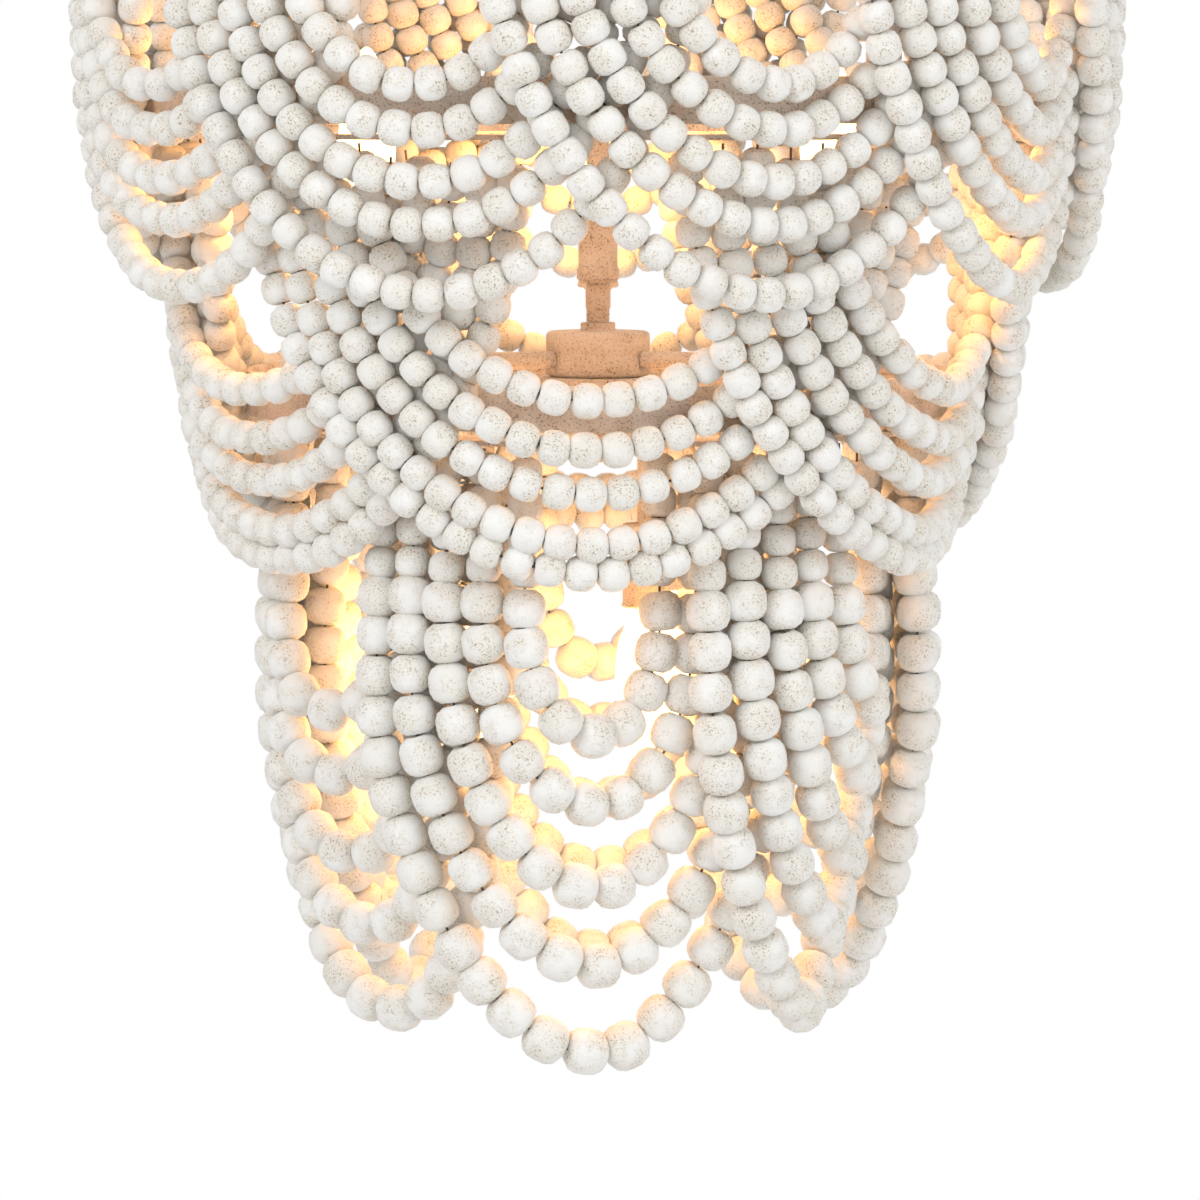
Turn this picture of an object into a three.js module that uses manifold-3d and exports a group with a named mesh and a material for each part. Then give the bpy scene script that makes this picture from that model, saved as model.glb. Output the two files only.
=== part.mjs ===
import * as THREE from 'three';
import { mergeVertices } from 'three/addons/utils/BufferGeometryUtils.js';
import Module from 'manifold-3d';

// Beaded chandelier with three tiers of bead swags, in millimetres, +Z up.
// Heights are measured from the middle of the upper band. The whole group is
// then lowered so that the ceiling face of the canopy is at zero.

// Fits between pieces
const gap = 0.3;
const sink = 1.5;

// Canopy, hook, link and loop
const ceilingHeight = 455;
const canopyDepth = 28;
const canopyRadius = 66;
const canopyWall = 3;
const canopyShoulder = 20;
const barLength = 121;
const barWidth = 24;
const barThickness = 3;
const wireRadius = 2.5;
const eyeRadius = 10.5;
const hookHeight = 409.5;
const shankRadius = 4;
const nutRadius = 9;
const nutHeight = 5;
const linkGap = 1;
const linkHalfWidth = 9.5;
const linkStraight = 26;
const loopCollarRadius = 10.5;

// Stem
const stemRadius = 6.65;
const stemTop = 334;
const stemBottom = -127.7;
const couplingRadius = 12.25;
const couplingTop = -64;
const couplingBottom = -105;
const couplingLip = 2;

// Hub and plate
const hubRadius = 30;
const hubTop = -133;
const hubBottom = -159;
const hubBevel = 2.5;
const hubCollarRadius = 10;
const hubCollarTop = -128;
const plateRadius = 34;
const plateBottom = -167;

// Crown
const crownPlateRadius = 84;
const crownPlateTop = 330;
const crownPlateThickness = 4;
const crownStrandTopRadius = 74;
const crownStrandEndRadius = 290;
const crownTieOffset = 4;

// Flat hanging rings
const ringThickness = 3;
const ring1Inner = 266;
const ring1Outer = 306.5;
const ring1Bottom = 165;
const ring2Inner = 222;
const ring2Outer = 254;
const ring3Inner = 147;
const ring3Outer = 190;

// Bands
const bandWall = 2.5;
const bandHeight = 25.4;
const band1Radius = 261;
const band2Radius = 203;
const band2Height = -167;

// Spiders
const spokeThickness = 5;
const spokeWidth = 9;
const spiderCollarRadius = 16;
const spiderCollarHeight = 12;
const upperSpokeEnd = 280;
const middleSpokeEnd = 257;
const lowerSpokeEnd = 202;
const finialRadius = 9;
const finialLength = 24;

// Upper lamps
const armRadius = 5;
const armHeight = -149;
const armEnd = 204;
const riserRadiusFromAxis = 150;
const sleeveRadius = 12.5;
const sleeveBottom = -113;
const sleeveTop = -64.5;
const sleeveLip = 1.5;
const bulbRadius = 16.5;
const bulbLength = 94;

// Lower lamps
const dropRadiusFromAxis = 64;
const dropTubeHeight = -163;
const dropBend = 14;
const dropTubeEnd = -243;
const dropSleeveTop = -240;
const dropSleeveBottom = -288;

// Strands
const tieRadius = 3;
const strandRadius = 7.8;
const loopStrandRadius = 12.3;
const crownStrandRadius = 7;
const crownLift = 9.7;
const swagShingle = 19;
const loopShingle = 27;

// Counts, angles in degrees and shares of a length
const ringSegments = 32;
const roundSegments = 12;
const wireSegments = 8;
const eyeSegments = 16;
const tubeSides = 4;
const swagSteps = 8;
const loopSteps = 10;
const tieSteps = 3;
const crownSteps = 4;
const crownCount = 27;
const crownSagShare = 1.5;
const spokeAngles = [60, 180, 300];
const middleSpokeAngles = [0, 120, 240];
const armAngles = [60, 180, 300];
const dropAngles = [24, 144, 264];
const shingleSharpShare = 3;
const bulbProfileShares = [[0.55, 0.0], [0.6, 0.1], [0.95, 0.25], [1, 0.42], [0.86, 0.68], [0.5, 0.9]];

// Heights and radii along each tier: [height, radius at mid-thickness]
const tier1Path = [[165, 287.5], [0, 282.5], [-103, 266], [-140, 262]];
const tier2Path = [[-20, 240], [-140, 229.5], [-167, 225], [-185, 223], [-210, 216], [-256, 206], [-290, 203]];
const tier3Path = [[-180, 168.5], [-245, 168.5], [-290, 173.5], [-360, 173.5], [-440, 158], [-531, 131], [-560, 127]];

// Strand rows: half span in degrees, bottom height
const tier1Rows = [[17.5, 8], [22, -16], [26, -43], [29.8, -66], [33.5, -103]];
const tier2Rows = [[31, -161], [35.5, -188], [40, -212], [44.5, -240], [49, -256]];
const tier3Rows = [[12.5, -348], [20, -387], [27, -435], [34, -480], [41, -535.5]];
const tier3ShortRows = [[12.5, -344], [20, -381], [27, -427], [34, -468], [41, -520]];
const tier3RoundShares = [1.75, 1.9, 2.2, 2.2, 2.3];
const tier1Groups = 9;
const tier2Groups = 6;
const tier3Groups = 6;

const wasm = await Module();
wasm.setup();

const degrees = Math.PI / 180;

/** Turns a closed geometry into a solid for joining and cutting. */
function toSolid(geometry) {
  const plain = geometry.clone();
  plain.deleteAttribute('normal');
  plain.deleteAttribute('uv');
  const merged = mergeVertices(plain);
  const mesh = new wasm.Mesh({
    numProp: 3,
    vertProperties: new Float32Array(merged.attributes.position.array),
    triVerts: new Uint32Array(merged.index.array),
  });
  mesh.merge();
  return new wasm.Manifold(mesh);
}

/** Turns a solid back into a three.js geometry with flat-shaded normals. */
function toGeometry(solid) {
  const mesh = solid.getMesh();
  const geometry = new THREE.BufferGeometry();
  geometry.setAttribute('position', new THREE.BufferAttribute(mesh.vertProperties, mesh.numProp));
  geometry.setIndex(new THREE.BufferAttribute(mesh.triVerts, 1));
  geometry.computeVertexNormals();
  return geometry;
}

/** Joins several closed geometries into one. */
function join(geometries) {
  return toGeometry(wasm.Manifold.union(geometries.map(toSolid)));
}

/** A curve given by a function from share of its length to a point. */
class FunctionCurve extends THREE.Curve {
  constructor(pointAt) {
    super();
    this.pointAt = pointAt;
  }

  getPoint(t, target = new THREE.Vector3()) {
    return target.copy(this.pointAt(t));
  }
}

function polar(radius, angle, height) {
  return new THREE.Vector3(radius * Math.sin(angle * degrees), -radius * Math.cos(angle * degrees), height);
}

function disc(radius, sides) {
  const shape = new THREE.Shape();
  for (let i = 0; i < sides; i += 1) {
    const a = (2 * Math.PI * i) / sides;
    if (i === 0) shape.moveTo(radius * Math.cos(a), radius * Math.sin(a));
    else shape.lineTo(radius * Math.cos(a), radius * Math.sin(a));
  }
  shape.closePath();
  return shape;
}

function tube(path, radius, sides, steps) {
  return new THREE.ExtrudeGeometry(disc(radius, sides), { steps, extrudePath: path, bevelEnabled: false });
}

/** A solid or ring of revolution about +Z from [radius, height] pairs. */
function turned(profile, segments) {
  const closed = profile[0][0] === 0 ? profile : [...profile, profile[0]];
  const lathe = new THREE.LatheGeometry(closed.map(([r, z]) => new THREE.Vector2(r, z)), segments);
  lathe.rotateX(Math.PI / 2);
  return lathe;
}

function washer(inner, outer, bottom, top, segments) {
  return turned([[inner, bottom], [outer, bottom], [outer, top], [inner, top]], segments);
}

function rod(radius, bottom, top, segments) {
  return turned([[0, bottom], [radius, bottom], [radius, top], [0, top]], segments);
}

function radiusAt(path, height) {
  for (let i = 1; i < path.length; i += 1) {
    const [z0, r0] = path[i - 1];
    const [z1, r1] = path[i];
    if (height >= z1) return r0 + ((r1 - r0) * (height - z0)) / (z1 - z0);
  }
  return path[path.length - 1][1];
}

function shingleOffset(shingle, s) {
  return (-shingle / 2) * (Math.tanh(shingleSharpShare * s) / Math.tanh(shingleSharpShare));
}

/** A swag that hangs between two points of a ring as a half ellipse. */
function swagCurve(path, halfSpan, top, bottom, shingle) {
  return new FunctionCurve((t) => {
    const phi = (t - 1 / 2) * Math.PI;
    const z = top - (top - bottom) * Math.cos(phi);
    const r = radiusAt(path, z) + shingleOffset(shingle, Math.sin(phi));
    return polar(r, halfSpan * Math.sin(phi), z);
  });
}

/** A long loop: two straight legs and a rounded bottom. */
function loopCurve(path, halfSpan, top, bottom, roundShare, shingle) {
  const depth = top - bottom;
  const width = radiusAt(path, bottom) * halfSpan * degrees;
  const round = Math.min(depth, width * roundShare);
  const leg = depth - round;
  const arc = (width + round) * (Math.PI / 4);
  const whole = 2 * leg + 2 * arc;
  return new FunctionCurve((t) => {
    const along = t * whole;
    let s = 0;
    let z = 0;
    if (along < leg) {
      s = -1;
      z = top - along;
    } else if (along > whole - leg) {
      s = 1;
      z = top - (whole - along);
    } else {
      const phi = ((along - leg) / (2 * arc) - 1 / 2) * Math.PI;
      s = Math.sin(phi);
      z = bottom + round - round * Math.cos(phi);
    }
    return polar(radiusAt(path, z) + shingleOffset(shingle, s), halfSpan * s, z);
  });
}

function arcCurve(radius, from, to, height) {
  return new FunctionCurve((t) => polar(radius, from + (to - from) * t, height));
}

/** One group of strands, joined by a tie arc at the tops of each side. */
function strandGroup(path, rows, ringBottom, shingle, radius, steps, roundShares) {
  const tieHeight = ringBottom - gap - tieRadius;
  const top = tieHeight - tieRadius / 2;
  const pieces = rows.map(([halfSpan, bottom], i) => {
    const curve = roundShares
      ? loopCurve(path, halfSpan, top, bottom, roundShares[i], shingle)
      : swagCurve(path, halfSpan, top, bottom, shingle);
    return tube(curve, radius, tubeSides, steps);
  });
  const first = rows[0][0];
  const last = rows[rows.length - 1][0];
  for (const side of [-1, 1]) {
    const r = radiusAt(path, top) + shingleOffset(shingle, side);
    pieces.push(tube(arcCurve(r, side * first, side * last, tieHeight), tieRadius, tubeSides, tieSteps));
  }
  return join(pieces);
}

// Materials
const whitewash = new THREE.MeshStandardMaterial({ color: 0xcdb9a3, roughness: 0.75, metalness: 0.1 });
const beadWood = new THREE.MeshStandardMaterial({ color: 0xd9cfc0, roughness: 0.8, metalness: 0 });
const darkSteel = new THREE.MeshStandardMaterial({ color: 0x8c7f72, roughness: 0.5, metalness: 0.6 });
const warmGlass = new THREE.MeshStandardMaterial({ color: 0xffe2b0, roughness: 0.2, metalness: 0 });

const chandelier = new THREE.Group();
chandelier.position.z = -ceilingHeight;

function add(name, geometry, material, angle = 0) {
  const mesh = new THREE.Mesh(geometry, material);
  mesh.name = name;
  mesh.rotation.z = angle * degrees;
  chandelier.add(mesh);
  return mesh;
}

function polyline(points) {
  const path = new THREE.CurvePath();
  for (let i = 1; i < points.length; i += 1) path.add(new THREE.LineCurve3(points[i - 1], points[i]));
  return path;
}

/** A round-wire ring standing in the XZ plane. */
function eye(height) {
  const ring = new THREE.TorusGeometry(eyeRadius, wireRadius, wireSegments, eyeSegments);
  ring.rotateX(Math.PI / 2);
  ring.translate(0, 0, height);
  return ring;
}

// Canopy and its hook
const canopyBottom = ceilingHeight - canopyDepth;
add('canopy', turned([
  [shankRadius + gap, canopyBottom],
  [canopyShoulder, canopyBottom],
  [canopyRadius - canopyWall, canopyBottom + canopyDepth / 2],
  [canopyRadius, ceilingHeight],
  [canopyRadius - canopyWall, ceilingHeight],
  [canopyRadius - canopyWall - canopyWall, canopyBottom + canopyDepth / 2 + canopyWall],
  [canopyShoulder, canopyBottom + canopyWall],
  [shankRadius + gap, canopyBottom + canopyWall],
], ringSegments), whitewash);

// Mounting bar, screwed flat to the ceiling inside the canopy
const bar = new THREE.BoxGeometry(barLength, barWidth, barThickness);
bar.translate(0, 0, ceilingHeight - barThickness / 2);
add('mounting_bar', bar, darkSteel);

const nutBottom = canopyBottom + canopyWall + gap;
add('canopy_hook', join([
  eye(hookHeight),
  rod(shankRadius, hookHeight + eyeRadius - sink, nutBottom + sink, roundSegments),
  rod(nutRadius, nutBottom, nutBottom + nutHeight, roundSegments),
  rod(nutRadius, canopyBottom - gap - wireRadius, canopyBottom - gap, roundSegments),
]), darkSteel);

// The link: a racetrack of wire in the YZ plane
const linkTopWire = hookHeight - eyeRadius + 2 * wireRadius + linkGap;
const linkMiddle = linkTopWire - linkHalfWidth - linkStraight / 2;
function racetrack(halfWidth, straight, thickness) {
  const shape = new THREE.Shape();
  shape.absarc(0, straight / 2, halfWidth + thickness, 0, Math.PI, false);
  shape.absarc(0, -straight / 2, halfWidth + thickness, Math.PI, 2 * Math.PI, false);
  shape.closePath();
  return shape;
}
const linkShape = racetrack(linkHalfWidth, linkStraight, wireRadius);
linkShape.holes.push(new THREE.Path(racetrack(linkHalfWidth, linkStraight, -wireRadius).getPoints(wireSegments)));
const linkGeometry = new THREE.ExtrudeGeometry(linkShape, { depth: 2 * wireRadius, bevelEnabled: false, curveSegments: wireSegments });
linkGeometry.translate(0, 0, -wireRadius);
linkGeometry.rotateX(Math.PI / 2);
linkGeometry.rotateZ(Math.PI / 2);
linkGeometry.translate(0, 0, linkMiddle);
add('chain_link', toGeometry(toSolid(linkGeometry)), darkSteel);

// Loop on the top of the stem
const linkBottomWire = linkMiddle - linkHalfWidth - linkStraight / 2;
const loopHeight = linkBottomWire + 2 * wireRadius + linkGap - eyeRadius;
const collarBottom = crownPlateTop + gap;
const loopSolid = toSolid(join([
  eye(loopHeight),
  rod(loopCollarRadius, collarBottom, loopHeight - eyeRadius, roundSegments),
]));
add('top_loop', toGeometry(loopSolid.subtract(
  toSolid(rod(stemRadius + gap, collarBottom - sink, stemTop + gap, roundSegments)),
)), whitewash);

// Stem, coupling, hub and plate
add('stem', rod(stemRadius, stemBottom, stemTop, roundSegments), whitewash);
add('stem_coupling', turned([
  [stemRadius + gap, couplingBottom],
  [couplingRadius - couplingLip, couplingBottom],
  [couplingRadius, couplingBottom + couplingLip],
  [couplingRadius, couplingTop - couplingLip],
  [couplingRadius - couplingLip, couplingTop],
  [stemRadius + gap, couplingTop],
], roundSegments), whitewash);
add('hub', turned([
  [0, hubBottom],
  [hubRadius - hubBevel, hubBottom],
  [hubRadius, hubBottom + hubBevel],
  [hubRadius, hubTop - hubBevel],
  [hubRadius - hubBevel, hubTop],
  [hubCollarRadius, hubTop],
  [hubCollarRadius, hubCollarTop],
  [0, hubCollarTop],
], ringSegments), whitewash);
add('hub_plate', rod(plateRadius, plateBottom, hubBottom - gap, ringSegments), whitewash);

// Crown plate, strands and the upper ring
const crownPlateBottom = crownPlateTop - crownPlateThickness;
add('crown_plate', washer(stemRadius + gap, crownPlateRadius, crownPlateBottom, crownPlateTop, ringSegments), whitewash);

const ring1Top = ring1Bottom + ringThickness;
const crownTop = crownPlateBottom - gap - crownLift;
const crownEnd = ring1Top + gap + crownLift;
const crownPieces = [];
for (let i = 0; i < crownCount; i += 1) {
  const angle = (360 / crownCount) * i;
  crownPieces.push(tube(new FunctionCurve((t) => polar(
    crownStrandTopRadius + (crownStrandEndRadius - crownStrandTopRadius) * t,
    angle,
    crownEnd + (crownTop - crownEnd) * (1 - t) ** crownSagShare,
  )), crownStrandRadius, tubeSides, crownSteps));
}
function tieRing(radius, height) {
  const ring = new THREE.TorusGeometry(radius, tieRadius, tubeSides, 2 * crownCount);
  ring.translate(0, 0, height);
  return ring;
}
crownPieces.push(tieRing(crownStrandTopRadius + crownTieOffset, crownPlateBottom - gap - tieRadius));
crownPieces.push(tieRing(crownStrandEndRadius - tieRadius, ring1Top + gap + tieRadius));
add('crown_strands', join(crownPieces), beadWood);

add('tier_1_ring', washer(ring1Inner, ring1Outer, ring1Bottom, ring1Top, ringSegments), whitewash);

/** A collar on the stem with three flat spokes. */
function spider(angles, spokeBottom, spokeEnd, collarBottom0, collarTop0, bored) {
  const spokes = angles.map((angle) => {
    const bar = new THREE.BoxGeometry(spokeWidth, spokeEnd, spokeThickness);
    bar.translate(0, -spokeEnd / 2, spokeBottom + spokeThickness / 2);
    bar.rotateZ(angle * degrees);
    return bar;
  });
  const solid = toSolid(join([...spokes, rod(spiderCollarRadius, collarBottom0, collarTop0, roundSegments)]));
  if (!bored) return toGeometry(solid);
  const bore = rod(stemRadius + gap, collarBottom0 - sink, collarTop0 + sink, roundSegments);
  return toGeometry(solid.subtract(toSolid(bore)));
}

const upperSpokeBottom = ring1Top + gap;
add('upper_spider', spider(spokeAngles, upperSpokeBottom, upperSpokeEnd, upperSpokeBottom, upperSpokeBottom + spiderCollarHeight, true), whitewash);

// Upper band with its spider and the ring of the second tier
const halfBand = bandHeight / 2;
add('tier_1_band', washer(band1Radius - bandWall, band1Radius, -halfBand, halfBand, ringSegments), whitewash);
const middleSpokeBottom = -halfBand - gap - spokeThickness;
add('middle_spider', spider(middleSpokeAngles, middleSpokeBottom, middleSpokeEnd + bandWall, middleSpokeBottom, middleSpokeBottom + spiderCollarHeight, true), whitewash);
const ring2Top = middleSpokeBottom - gap;
const ring2Bottom = ring2Top - ringThickness;
add('tier_2_ring', washer(ring2Inner, ring2Outer, ring2Bottom, ring2Top, ringSegments), whitewash);

// Lower band with its spider and the ring of the third tier
add('tier_2_band', washer(band2Radius - bandWall, band2Radius, band2Height - halfBand, band2Height + halfBand, ringSegments), whitewash);
const lowerSpokeBottom = band2Height - halfBand - gap - spokeThickness;
add('lower_spider', spider(spokeAngles, lowerSpokeBottom, lowerSpokeEnd, lowerSpokeBottom, plateBottom - gap, false), whitewash);
const ring3Top = lowerSpokeBottom - gap;
const ring3Bottom = ring3Top - ringThickness;
add('tier_3_ring', washer(ring3Inner, ring3Outer, ring3Bottom, ring3Top, ringSegments), whitewash);
add('finial', turned([
  [0, ring3Top - finialLength],
  [finialRadius / 2, ring3Top - finialLength],
  [finialRadius, ring3Top - finialLength / 2],
  [finialRadius, ring3Top],
  [0, ring3Top],
], roundSegments), whitewash);

// Upper lamps: arm, riser and sleeve in one, bulb apart
function bulb(length) {
  const profile = [[0, 0]];
  for (const [r, z] of bulbProfileShares) profile.push([r * bulbRadius, z * length]);
  profile.push([0, length]);
  return turned(profile, 2 * wireSegments - tubeSides);
}
const armPath = polyline([new THREE.Vector3(0, -hubRadius - gap, armHeight), new THREE.Vector3(0, -armEnd, armHeight)]);
function sleeve(radiusFromAxis, bottom, top) {
  const body = turned([
    [0, bottom],
    [sleeveRadius - sleeveLip, bottom],
    [sleeveRadius, bottom + sleeveLip],
    [sleeveRadius, top - sleeveLip],
    [sleeveRadius - sleeveLip, top],
    [0, top],
  ], roundSegments);
  body.translate(0, -radiusFromAxis, 0);
  return body;
}
const riser = rod(armRadius, armHeight, sleeveBottom + sink, wireSegments);
riser.translate(0, -riserRadiusFromAxis, 0);
const armGeometry = join([
  tube(armPath, armRadius, wireSegments, 1),
  riser,
  sleeve(riserRadiusFromAxis, sleeveBottom, sleeveTop),
]);
const upBulb = bulb(bulbLength);
upBulb.translate(0, -riserRadiusFromAxis, sleeveTop + gap);
armAngles.forEach((angle, i) => {
  add(`lamp_arm_${i + 1}`, armGeometry.clone(), whitewash, angle);
  add(`bulb_${i + 1}`, upBulb.clone(), warmGlass, angle);
});

// Lower lamps: a bent tube from the hub plate, facing down
const dropPath = new FunctionCurve((t) => {
  const reach = dropRadiusFromAxis - dropBend - plateRadius - gap;
  const turn = (dropBend * Math.PI) / 2;
  const fall = dropTubeHeight - dropBend - dropTubeEnd;
  const along = t * (reach + turn + fall);
  if (along < reach) return polar(plateRadius + gap + along, 0, dropTubeHeight);
  if (along > reach + turn) return polar(dropRadiusFromAxis, 0, dropTubeHeight - dropBend - (along - reach - turn));
  const a = (along - reach) / dropBend;
  return polar(dropRadiusFromAxis - dropBend + dropBend * Math.sin(a), 0, dropTubeHeight - dropBend + dropBend * Math.cos(a));
});
const dropGeometry = join([
  tube(dropPath, armRadius - wireRadius / 2, wireSegments, loopSteps),
  sleeve(dropRadiusFromAxis, dropSleeveBottom, dropSleeveTop),
]);
const downBulb = bulb(bulbLength);
downBulb.rotateX(Math.PI);
downBulb.translate(0, -dropRadiusFromAxis, dropSleeveBottom - gap);
dropAngles.forEach((angle, i) => {
  add(`drop_lamp_${i + 1}`, dropGeometry.clone(), whitewash, angle);
  add(`drop_bulb_${i + 1}`, downBulb.clone(), warmGlass, angle);
});

// Bead strands
const tier1 = strandGroup(tier1Path, tier1Rows, ring1Bottom, swagShingle, strandRadius, swagSteps);
const tier2 = strandGroup(tier2Path, tier2Rows, ring2Bottom, swagShingle, strandRadius, swagSteps);
const tier3 = [tier3Rows, tier3ShortRows].map((rows) => strandGroup(
  tier3Path, rows, ring3Bottom, loopShingle, loopStrandRadius, loopSteps, tier3RoundShares,
));
for (let i = 0; i < tier1Groups; i += 1) {
  add(`tier_1_swag_${i + 1}`, tier1.clone(), beadWood, (360 / tier1Groups) * (i + 1 / 2));
}
for (let i = 0; i < tier2Groups; i += 1) {
  add(`tier_2_swag_${i + 1}`, tier2.clone(), beadWood, (360 / tier2Groups) * i);
}
for (let i = 0; i < tier3Groups; i += 1) {
  add(`tier_3_loops_${i + 1}`, tier3[i % tier3.length].clone(), beadWood, (360 / tier3Groups) * i);
}

export default chandelier;
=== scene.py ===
"""Beaded chandelier: three tiers of whitewashed bead swags on painted bands."""
import logging
import math
from dataclasses import dataclass, field
from enum import Enum
from typing import ClassVar

import bpy
import numpy as np
from mathutils import Matrix, Vector


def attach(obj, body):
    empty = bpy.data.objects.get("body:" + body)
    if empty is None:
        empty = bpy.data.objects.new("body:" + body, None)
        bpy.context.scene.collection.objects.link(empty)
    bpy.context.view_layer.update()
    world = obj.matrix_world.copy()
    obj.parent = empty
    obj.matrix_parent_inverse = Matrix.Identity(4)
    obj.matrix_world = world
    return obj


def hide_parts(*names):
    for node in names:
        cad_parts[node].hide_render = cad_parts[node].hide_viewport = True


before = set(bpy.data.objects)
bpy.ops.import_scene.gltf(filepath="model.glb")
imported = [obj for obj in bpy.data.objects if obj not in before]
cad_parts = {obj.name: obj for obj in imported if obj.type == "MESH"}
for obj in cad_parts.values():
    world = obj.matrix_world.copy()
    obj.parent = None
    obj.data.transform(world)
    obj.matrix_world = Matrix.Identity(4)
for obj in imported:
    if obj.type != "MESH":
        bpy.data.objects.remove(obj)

LOG = logging.getLogger("chandelier")
MM = 0.001
CEILING = 455.0
BODY = "chandelier"
EYE_RADIUS = 10.5
EYE_WIRE = 2.5
LINK_WIRE = 2.45
LINK_HALF_WIDTH = 9.5
LINK_TOP_BEND = 395.5
LINK_BOTTOM_BEND = 369.5


class Slot(str, Enum):
    """The material slots of the record."""

    FRAME = "frame"
    BEADS = "beads"
    STEEL = "steel"
    BULB = "bulb"


class Section(Enum):
    """The two ways in which a strand hangs."""

    SWAG = "swag"
    LOOP = "loop"


def height(z: float) -> float:
    """Turns a height above the upper band, in mm, into metres below the ceiling.

    Args:
        z: The height in mm.

    Returns:
        The height in metres, zero at the ceiling.
    """
    return (z - CEILING) * MM


def polar(radius: float, angle: float, z: float) -> np.ndarray:
    """Gives a point in mm from the axis and the front.

    Args:
        radius: Distance from the axis.
        angle: Degrees from the front.
        z: The height.

    Returns:
        The point.
    """
    a = math.radians(angle)
    return np.array([radius * math.sin(a), -radius * math.cos(a), z])


# ---- shader groups and finishes


class ShaderGroups:
    """Node groups that several finishes share."""

    @staticmethod
    def speckle() -> bpy.types.NodeTree:
        """Builds the group that gives patchy wash, fine speckle and pores.

        Returns:
            The node group, with outputs Patch, Speck and Grain.
        """
        tree = bpy.data.node_groups.new("wash_and_speckle", "ShaderNodeTree")
        face = tree.interface
        for name, value in (("Patch Scale", 60.0), ("Speck Scale", 700.0), ("Speck Amount", 0.5),
                            ("Least Speck", 0.1)):
            socket = face.new_socket(name, in_out="INPUT", socket_type="NodeSocketFloat")
            socket.default_value = value
        face.new_socket("Vector", in_out="INPUT", socket_type="NodeSocketVector")
        for name in ("Patch", "Speck", "Grain"):
            face.new_socket(name, in_out="OUTPUT", socket_type="NodeSocketFloat")
        nodes, links = tree.nodes, tree.links
        start, end = nodes.new("NodeGroupInput"), nodes.new("NodeGroupOutput")

        def noise(scale: str, detail: float, rough: float) -> bpy.types.Node:
            """Adds a noise texture on the group's vector."""
            node = nodes.new("ShaderNodeTexNoise")
            node.inputs["Detail"].default_value = detail
            node.inputs["Roughness"].default_value = rough
            links.new(start.outputs["Vector"], node.inputs["Vector"])
            links.new(start.outputs[scale], node.inputs["Scale"])
            return node

        def band(source: bpy.types.NodeSocket, low: float, high: float) -> bpy.types.Node:
            """Maps a stretch of a value to 0 to 1."""
            node = nodes.new("ShaderNodeMapRange")
            node.inputs["From Min"].default_value = low
            node.inputs["From Max"].default_value = high
            links.new(source, node.inputs["Value"])
            return node

        patch = band(noise("Patch Scale", 4.0, 0.6).outputs["Fac"], 0.38, 0.66)
        speck = noise("Speck Scale", 3.0, 0.7)
        sharp = band(speck.outputs["Fac"], 0.54, 0.64)
        amount = nodes.new("ShaderNodeMath")
        amount.operation = "MULTIPLY"
        links.new(sharp.outputs["Result"], amount.inputs[0])
        links.new(start.outputs["Speck Amount"], amount.inputs[1])
        worn = band(noise("Patch Scale", 2.0, 0.5).outputs["Fac"], 0.40, 0.64)
        links.new(start.outputs["Least Speck"], worn.inputs["To Min"])
        cluster = nodes.new("ShaderNodeMath")
        cluster.operation = "MULTIPLY"
        links.new(amount.outputs[0], cluster.inputs[0])
        links.new(worn.outputs["Result"], cluster.inputs[1])
        links.new(patch.outputs["Result"], end.inputs["Patch"])
        links.new(cluster.outputs[0], end.inputs["Speck"])
        links.new(speck.outputs["Fac"], end.inputs["Grain"])
        return tree


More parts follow.
